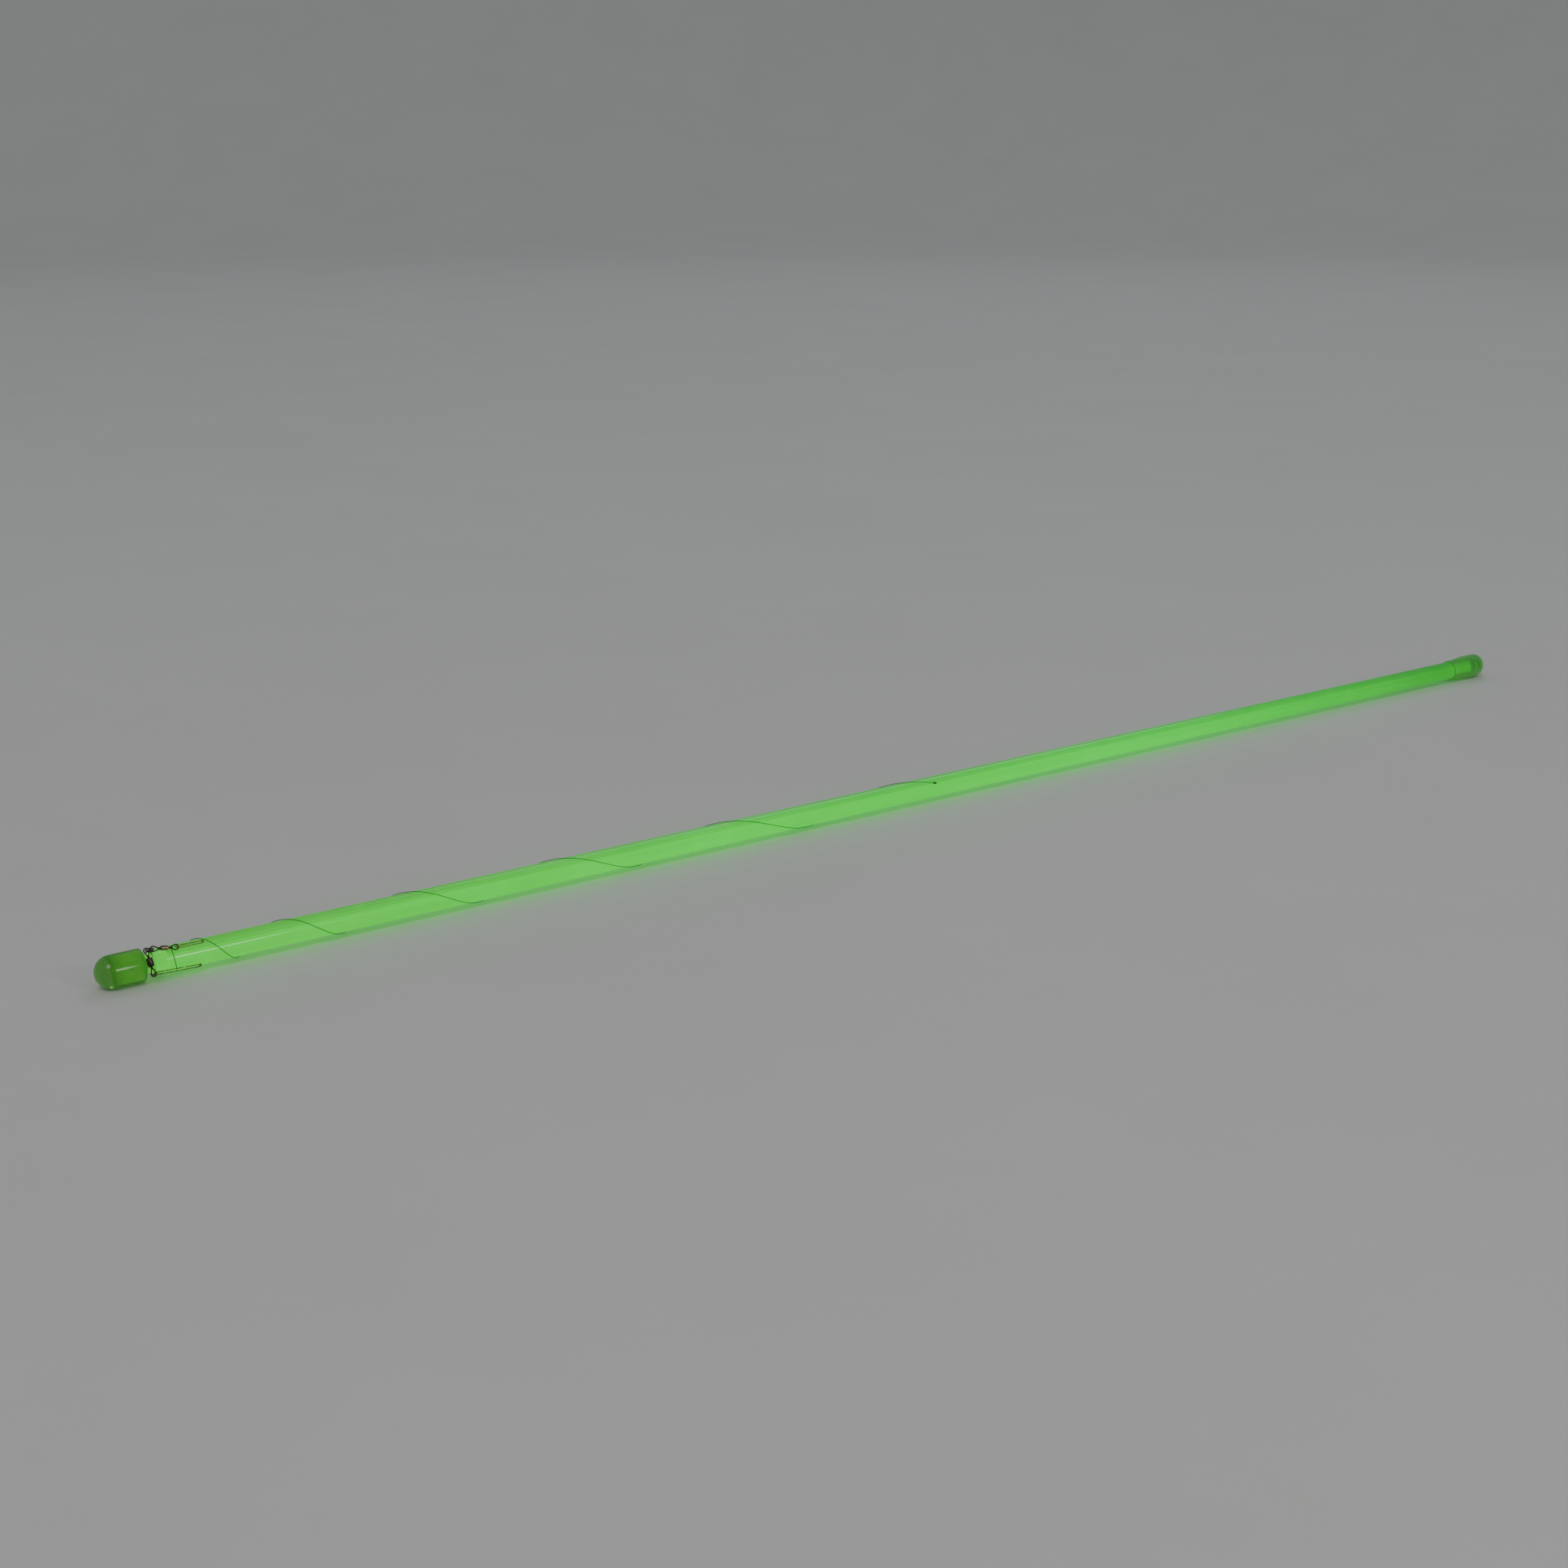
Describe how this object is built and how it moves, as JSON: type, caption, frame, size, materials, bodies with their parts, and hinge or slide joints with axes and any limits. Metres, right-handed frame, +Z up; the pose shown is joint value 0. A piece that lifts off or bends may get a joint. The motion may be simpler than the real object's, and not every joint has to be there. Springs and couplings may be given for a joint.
{
  "type": "long slim chemical light stick",
  "caption": "Long slim glowing green light stick with domed clear end caps, a small fitting of wire swivels and clips at one neck, and a fine line wound round the tube",
  "frame": {"origin": "centre of the bounding box in X and Y, on the plane the end caps rest on", "axes": "+X from the end with the fitting to the plain end, along the stick; -Y the front, where the fitting lies; +Z up from the surface the stick lies on"},
  "size_m": [0.5, 0.0082, 0.0084],
  "materials": {
    "clear_tube": "clear flexible plastic, slightly cloudy, lit from inside",
    "glowing_fluid": "luminous green liquid",
    "thin_glass": "thin clear glass, broken into lengths",
    "milky_plug": "translucent milky plastic that carries the green light",
    "clear_cap": "clear moulded plastic with a soft gloss",
    "dark_metal": "blackened steel wire and barrel with worn bright spots",
    "pale_brass": "pale brassy spring wire, bright at the tips",
    "dark_line": "fine dark monofilament"
  },
  "bodies": {
    "stick": {"outer_tube": "clear_tube", "glow_fluid": "glowing_fluid", "ampoule_piece_1": "thin_glass", "ampoule_piece_2": "thin_glass", "ampoule_piece_3": "thin_glass", "ampoule_piece_4": "thin_glass", "ampoule_piece_5": "thin_glass", "left_plug": "milky_plug", "left_end_cap": "clear_cap", "right_plug": "milky_plug", "right_end_cap": "clear_cap", "neck_swivel_top_eye": "dark_metal", "neck_swivel_bottom_eye": "dark_metal", "tube_swivel_left_eye": "dark_metal", "tube_swivel_right_eye": "dark_metal", "split_ring": "dark_metal", "winding_line": "dark_line", "line_knot": "dark_line", "line_end_crimp": "dark_metal"},
    "neck_barrel": {"neck_swivel_barrel": "dark_metal"},
    "tube_barrel": {"tube_swivel_barrel": "pale_brass"},
    "upper_clip": {"top_clip": "pale_brass"},
    "lower_clip": {"bottom_clip": "pale_brass"}
  },
  "joints": [
    {"name": "neck_barrel_spin", "type": "hinge", "parent": "stick", "child": "neck_barrel", "pos_m": [-0.23822, -0.00265, 0.00511], "axis": [0.1011, -0.3565, -0.9288], "continuous": true},
    {"name": "tube_barrel_spin", "type": "hinge", "parent": "stick", "child": "tube_barrel", "pos_m": [-0.23428, -0.00165, 0.00736], "axis": [0.987, -0.1304, -0.0944], "continuous": true},
    {"name": "upper_clip_swing", "type": "hinge", "parent": "stick", "child": "upper_clip", "pos_m": [-0.23175, -0.00198, 0.00712], "axis": [0.0295, -0.9872, -0.1565], "range_deg": [0, 50]},
    {"name": "lower_clip_swing", "type": "hinge", "parent": "stick", "child": "lower_clip", "pos_m": [-0.23795, -0.00362, 0.00259], "axis": [-0.101, 0.6241, -0.7748], "range_deg": [0, 50]}
  ]
}
